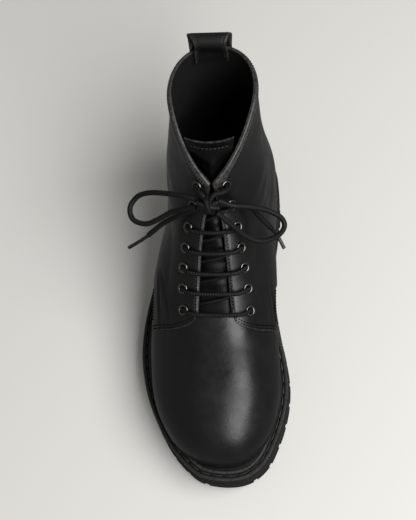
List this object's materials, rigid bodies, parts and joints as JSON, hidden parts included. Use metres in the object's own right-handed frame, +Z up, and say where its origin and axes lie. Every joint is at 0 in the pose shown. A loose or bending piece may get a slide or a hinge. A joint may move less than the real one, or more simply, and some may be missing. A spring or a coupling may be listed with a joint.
{
  "type": "combat boot",
  "caption": "Black lace-up combat boot for the right foot: derby quarters, metal eyelets, bow-tied round laces, stitched welt, lugged rubber sole and a pull loop.",
  "frame": {"origin": "On the ground under the middle of the heel, on the heel block's flat underside", "axes": "+Z up, -Y toward the toe, +X toward the inner side of the right foot"},
  "size_m": [0.1224, 0.303, 0.1849],
  "materials": {
    "black_leather": "smooth, satin, lightly creased",
    "tongue_leather": "soft, satin, wrinkled",
    "loop_leather": "satin with stitched edges",
    "welt_leather": "stitched, with a dressed edge",
    "footbed_fabric": "matt",
    "sole_rubber": "matt, moulded",
    "midsole_rubber": "matt, moulded",
    "eyelet_metal": "blackened and glossy",
    "lace_cord": "round waxed cord"
  },
  "bodies": {
    "root": {"eyelet_lateral_1": "eyelet_metal", "eyelet_lateral_2": "eyelet_metal", "eyelet_lateral_3": "eyelet_metal", "eyelet_lateral_4": "eyelet_metal", "eyelet_lateral_5": "eyelet_metal", "eyelet_lateral_6": "eyelet_metal", "eyelet_lateral_7": "eyelet_metal", "eyelet_medial_1": "eyelet_metal", "eyelet_medial_2": "eyelet_metal", "eyelet_medial_3": "eyelet_metal", "eyelet_medial_4": "eyelet_metal", "eyelet_medial_5": "eyelet_metal", "eyelet_medial_6": "eyelet_metal", "eyelet_medial_7": "eyelet_metal", "heel": "sole_rubber", "insole": "footbed_fabric", "lace_bars": "lace_cord", "lace_end_lateral": "lace_cord", "lace_end_medial": "lace_cord", "lace_knot": "lace_cord", "lace_leg_lateral": "lace_cord", "lace_leg_medial": "lace_cord", "lace_loop_lateral": "lace_cord", "lace_loop_medial": "lace_cord", "midsole": "midsole_rubber", "outsole": "sole_rubber", "pull_loop": "loop_leather", "tongue": "tongue_leather", "upper": "black_leather", "welt": "welt_leather"}
  },
  "joints": []
}
